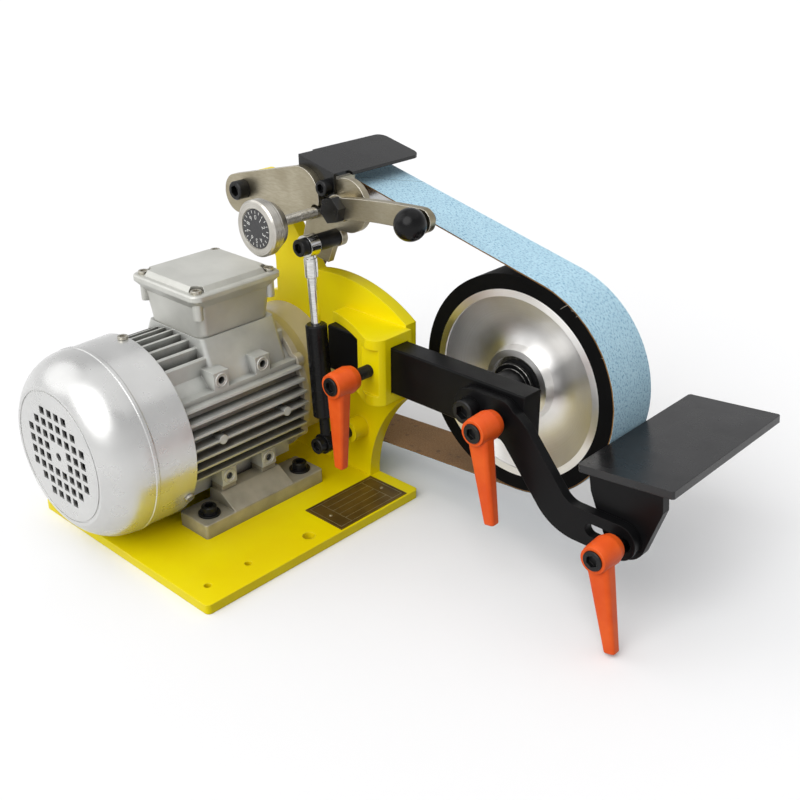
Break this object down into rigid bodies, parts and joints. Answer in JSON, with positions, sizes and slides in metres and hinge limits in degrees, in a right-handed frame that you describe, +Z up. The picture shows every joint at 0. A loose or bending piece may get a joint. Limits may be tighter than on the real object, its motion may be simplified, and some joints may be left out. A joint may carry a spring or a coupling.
{
  "type": "bench belt sander",
  "caption": "Bench belt sander: motor on a yellow base drives an abrasive belt over a sprung tracking wheel and a large rubber contact wheel with an adjustable work table.",
  "frame": {"origin": "middle of the base plate's underside", "axes": "+X from the motor towards the contact wheel and table, +Y along the motor shaft from the fan towards the drive wheel, +Z up from the bench"},
  "size_m": [0.4889, 0.3728, 0.2914],
  "materials": {
    "yellow_paint": "gloss",
    "dark_plate": "satin",
    "black_steel": "satin",
    "motor_grey": "satin",
    "silver_paint": "semi-gloss",
    "zinc_steel": "satin",
    "core_steel": "matte",
    "winding_copper": "satin",
    "bright_steel": "polished",
    "bearing_steel": "polished",
    "fan_plastic": "matte",
    "wheel_aluminium": "polished",
    "belt_abrasive": "matte",
    "black_paint": "satin",
    "tyre_rubber": "matte",
    "orange_lever": "satin",
    "plate_steel": "brushed",
    "ball_plastic": "gloss",
    "strut_black": "gloss",
    "strut_chrome": "polished"
  },
  "bodies": {
    "frame": {"base_plate": "yellow_paint", "nameplate": "dark_plate", "upright_frame": "yellow_paint", "flange_screws": "black_steel", "motor_frame": "motor_grey", "motor_feet": "motor_grey", "foot_screws": "black_steel", "foot_bolts": "black_steel", "drive_end_shield": "motor_grey", "fan_end_shield": "motor_grey", "fan_cover": "silver_paint", "cover_screws": "zinc_steel", "stator_core": "core_steel", "stator_winding": "winding_copper", "terminal_box": "motor_grey", "terminal_lid": "motor_grey", "lid_screws": "zinc_steel", "arm_pivot_bolt": "black_steel", "strut_lower_pin": "strut_chrome", "abrasive_belt": "belt_abrasive"},
    "rotor": {"motor_shaft": "bright_steel", "rotor_core": "core_steel", "motor_bearings": "bearing_steel", "cooling_fan": "fan_plastic", "shaft_key": "bright_steel", "drive_wheel": "wheel_aluminium", "drive_wheel_bolt": "black_steel"},
    "tool_arm": {"tool_arm_bar": "black_paint", "contact_axle": "bright_steel", "axle_screws": "black_steel"},
    "contact_wheel": {"contact_hub": "wheel_aluminium", "contact_tyre": "tyre_rubber", "contact_bearings": "bearing_steel"},
    "rest": {"rest_arm": "black_paint"},
    "table": {"table_bracket": "black_paint", "table_plate": "black_paint"},
    "arm_clamp": {"arm_clamp_handle": "orange_lever", "arm_clamp_stud": "black_steel"},
    "rest_clamp": {"rest_clamp_handle": "orange_lever", "rest_clamp_stud": "black_steel"},
    "table_stud": {"table_clamp_stud": "black_steel"},
    "table_clamp": {"table_clamp_handle": "orange_lever"},
    "tension": {"tension_arm": "plate_steel", "link_plate": "plate_steel", "belt_guard": "black_paint", "plate_screws": "black_steel", "release_lever": "plate_steel", "lever_ball": "ball_plastic", "lever_bolt": "black_steel", "hinge_pin": "bright_steel", "strut_upper_pin": "black_steel"},
    "tracker": {"tracking_block": "plate_steel", "tracking_axle": "black_steel"},
    "tracking_roller": {"tracking_wheel": "wheel_aluminium", "tracking_bearings": "bearing_steel"},
    "dial_knob": {"tracking_knob": "bright_steel", "tracking_screw": "bright_steel", "knob_locknut": "black_steel"},
    "strut_body": {"strut_cylinder": "strut_black"},
    "strut_piston": {"strut_rod": "strut_chrome"}
  },
  "joints": [
    {"name": "drive_spin", "type": "hinge", "parent": "frame", "child": "rotor", "pos_m": [-0.035, 0, 0.088], "axis": [0, 1, 0], "continuous": true},
    {"name": "arm_slide", "type": "slide", "parent": "frame", "child": "tool_arm", "axis": [1, 0, 0], "range_m": [0, 0.04], "deforming": ["abrasive_belt"]},
    {"name": "contact_spin", "type": "hinge", "parent": "tool_arm", "child": "contact_wheel", "pos_m": [0.206, 0, 0.135], "axis": [0, 1, 0], "continuous": true},
    {"name": "rest_swing", "type": "hinge", "parent": "tool_arm", "child": "rest", "pos_m": [0.206, 0, 0.135], "axis": [0, -1, 0], "range_deg": [0, 12]},
    {"name": "table_slide", "type": "slide", "parent": "rest", "child": "table_stud", "axis": [1, 0, 0], "range_m": [-0.0015, 0.005]},
    {"name": "table_tilt", "type": "hinge", "parent": "table_stud", "child": "table", "pos_m": [0.34109, 0, 0.076], "axis": [0, 1, 0], "range_deg": [0, 35]},
    {"name": "arm_clamp_turn", "type": "hinge", "parent": "frame", "child": "arm_clamp", "pos_m": [0.102, 0, 0.135], "axis": [0, 1, 0], "range_deg": [-30, 30]},
    {"name": "rest_clamp_turn", "type": "hinge", "parent": "tool_arm", "child": "rest_clamp", "pos_m": [0.233, 0, 0.135], "axis": [0, 1, 0], "range_deg": [-30, 30]},
    {"name": "table_clamp_turn", "type": "hinge", "parent": "table_stud", "child": "table_clamp", "pos_m": [0.34109, 0, 0.076], "axis": [0, -1, 0], "range_deg": [0, 45]},
    {"name": "tension_swing", "type": "hinge", "parent": "frame", "child": "tension", "pos_m": [-0.059, 0, 0.252], "axis": [0, 1, 0], "range_deg": [0, 10], "stiffness_Nm_per_rad": 15, "springref_deg": -34.38, "deforming": ["abrasive_belt"]},
    {"name": "strut_swing", "type": "hinge", "parent": "frame", "child": "strut_body", "pos_m": [0.055, 0.062, 0.055], "axis": [0, 1, 0], "range_deg": [-2.4, 0.1]},
    {"name": "strut_stroke", "type": "slide", "parent": "strut_body", "child": "strut_piston", "axis": [-0.0631, 0, 0.998], "range_m": [-0.018, 0.001]},
    {"name": "knob_turn", "type": "hinge", "parent": "tension", "child": "dial_knob", "pos_m": [0.03, 0, 0.249], "axis": [0, 1, 0], "range_deg": [-180, 180], "deforming": ["abrasive_belt"]},
    {"name": "tracker_tilt", "type": "hinge", "parent": "tension", "child": "tracker", "pos_m": [0.023, 0.107, 0.268], "axis": [1, 0, 0], "range_deg": [-2, 2], "deforming": ["abrasive_belt"]},
    {"name": "tracking_spin", "type": "hinge", "parent": "tracker", "child": "tracking_roller", "pos_m": [0.022, 0, 0.2495], "axis": [0, 1, 0], "continuous": true}
  ],
  "couplings": [
    {"joint": "contact_spin", "follows": "drive_spin", "ratio": 0.66667},
    {"joint": "tracking_spin", "follows": "drive_spin", "ratio": 3},
    {"joint": "strut_swing", "follows": "tension_swing", "ratio": -0.22837},
    {"joint": "strut_stroke", "follows": "tension_swing", "m_per_rad": -0.097912},
    {"joint": "tracker_tilt", "follows": "knob_turn", "ratio": 0.010471}
  ]
}
